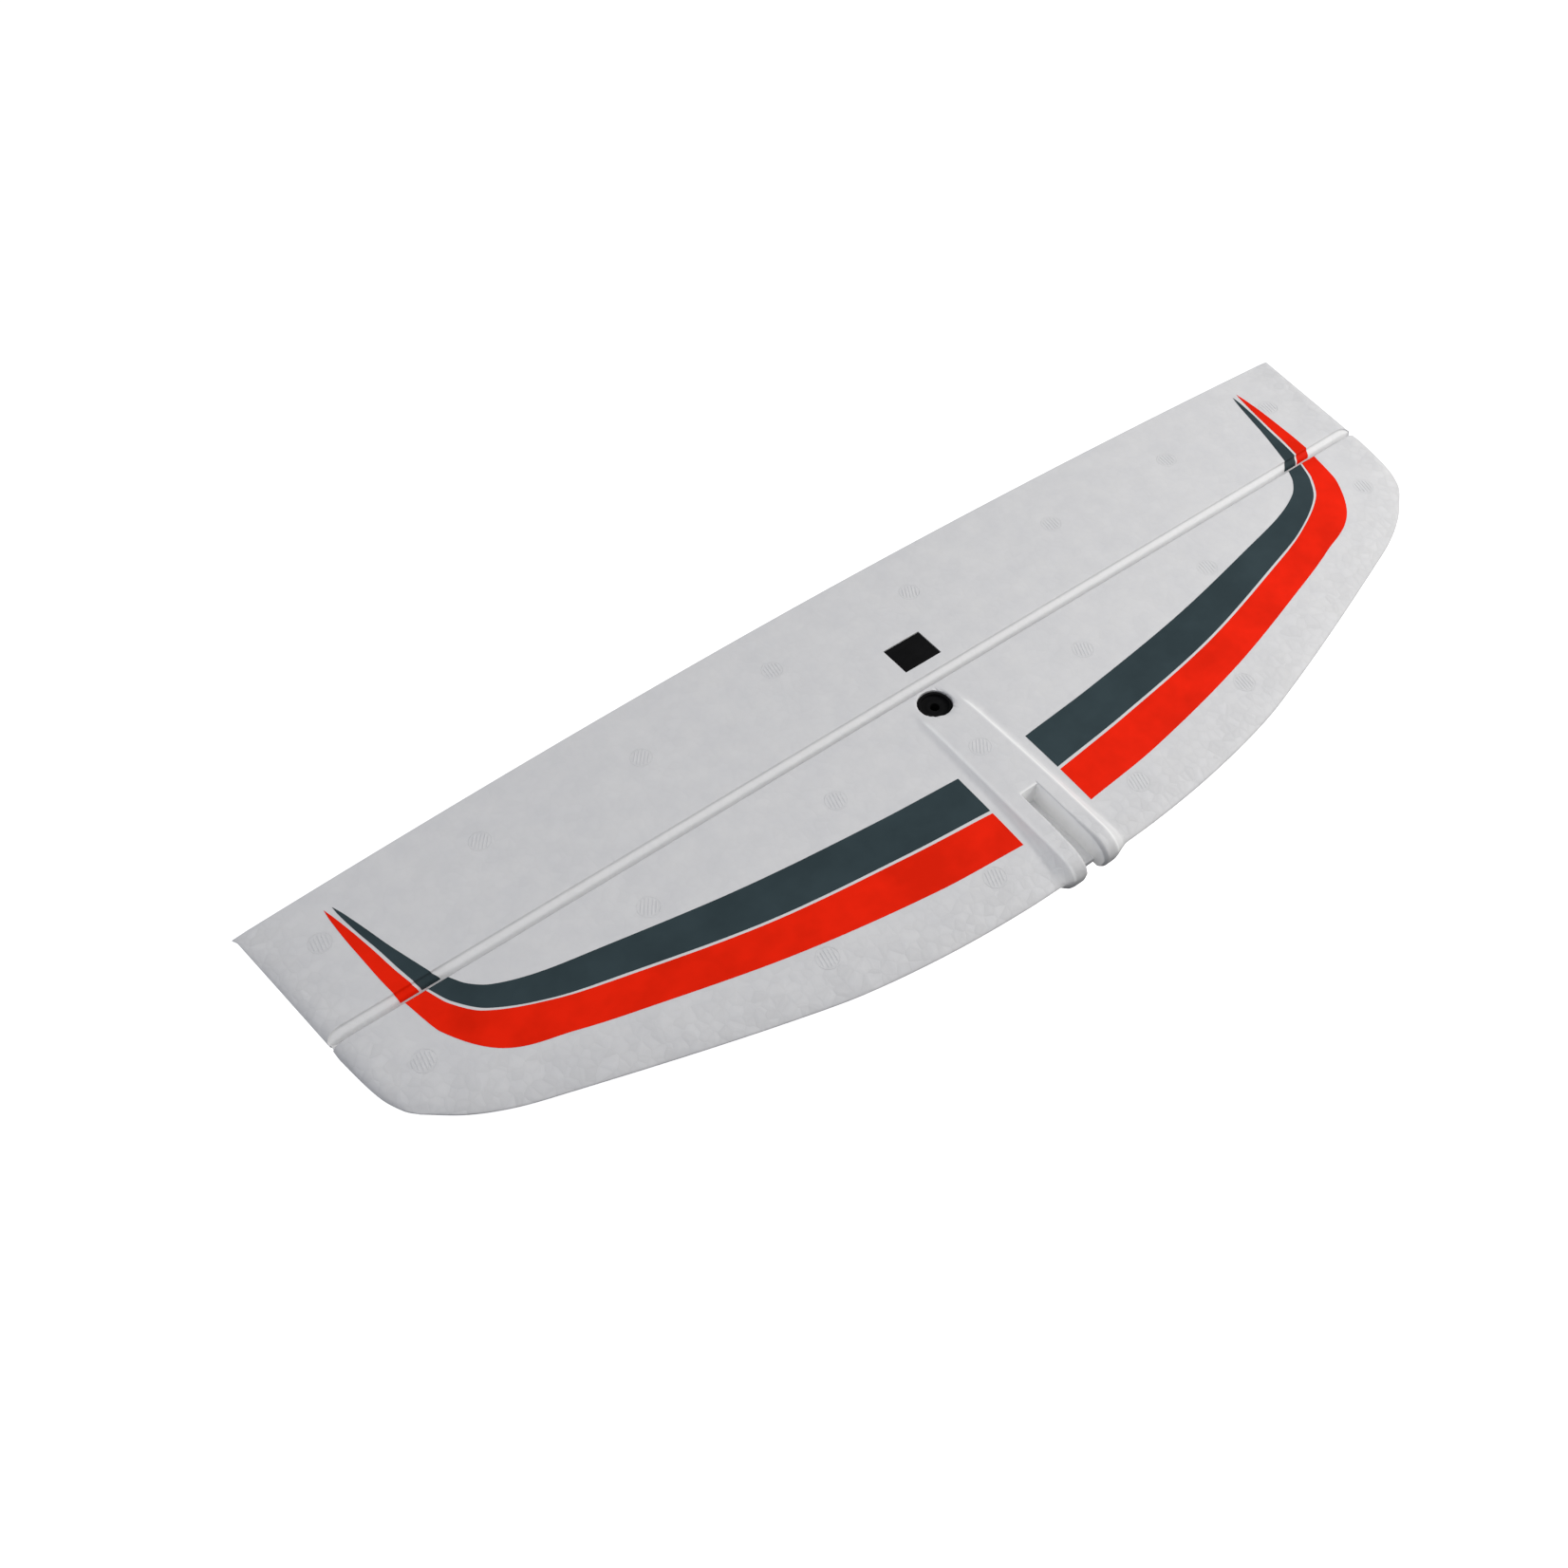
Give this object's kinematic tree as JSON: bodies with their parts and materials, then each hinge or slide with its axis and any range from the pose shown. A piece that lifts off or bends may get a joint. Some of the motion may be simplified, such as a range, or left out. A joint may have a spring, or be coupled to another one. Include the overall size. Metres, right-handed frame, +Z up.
{
  "type": "rc foam tailplane with elevator",
  "caption": "Moulded foam tailplane of an RC motor glider, with a foam-hinged elevator, a slotted centre hub, a screw cup, a control horn and vinyl stripes.",
  "frame": {"origin": "on the flat saddle face under the centre hub, on the centre line, between the fin slot and the mounting screw", "axes": "+X to the right along the span, +Y aft to the trailing edge, +Z up out of the striped top side"},
  "size_m": [0.48, 0.1528, 0.025],
  "materials": {
    "epo_foam": "matt moulded bead foam",
    "glass_fibre": "satin pultruded strip",
    "black_nylon": "moulded, satin",
    "screw_steel": "dark zinc",
    "grey_vinyl": "satin vinyl film",
    "orange_vinyl": "satin vinyl film"
  },
  "bodies": {
    "stabilizer": {"stabilizer_foam": "epo_foam", "tail_spar": "glass_fibre", "screw_cup": "black_nylon", "hinge_web": "epo_foam", "grey_stripe_left": "grey_vinyl", "grey_stripe_right": "grey_vinyl", "orange_stripe_left": "orange_vinyl", "orange_stripe_right": "orange_vinyl"},
    "elevator": {"elevator_foam": "epo_foam", "elevator_stiffener": "glass_fibre", "horn_backplate": "black_nylon", "control_horn": "black_nylon", "horn_screw_left": "screw_steel", "horn_screw_right": "screw_steel", "grey_point_left": "grey_vinyl", "grey_point_right": "grey_vinyl", "orange_point_left": "orange_vinyl", "orange_point_right": "orange_vinyl"}
  },
  "joints": [
    {"name": "elevator_hinge", "type": "hinge", "parent": "stabilizer", "child": "elevator", "pos_m": [0, 0.03235, 0.0031], "axis": [1, 0, 0], "range_deg": [-25, 25], "stiffness_Nm_per_rad": 0.06}
  ]
}
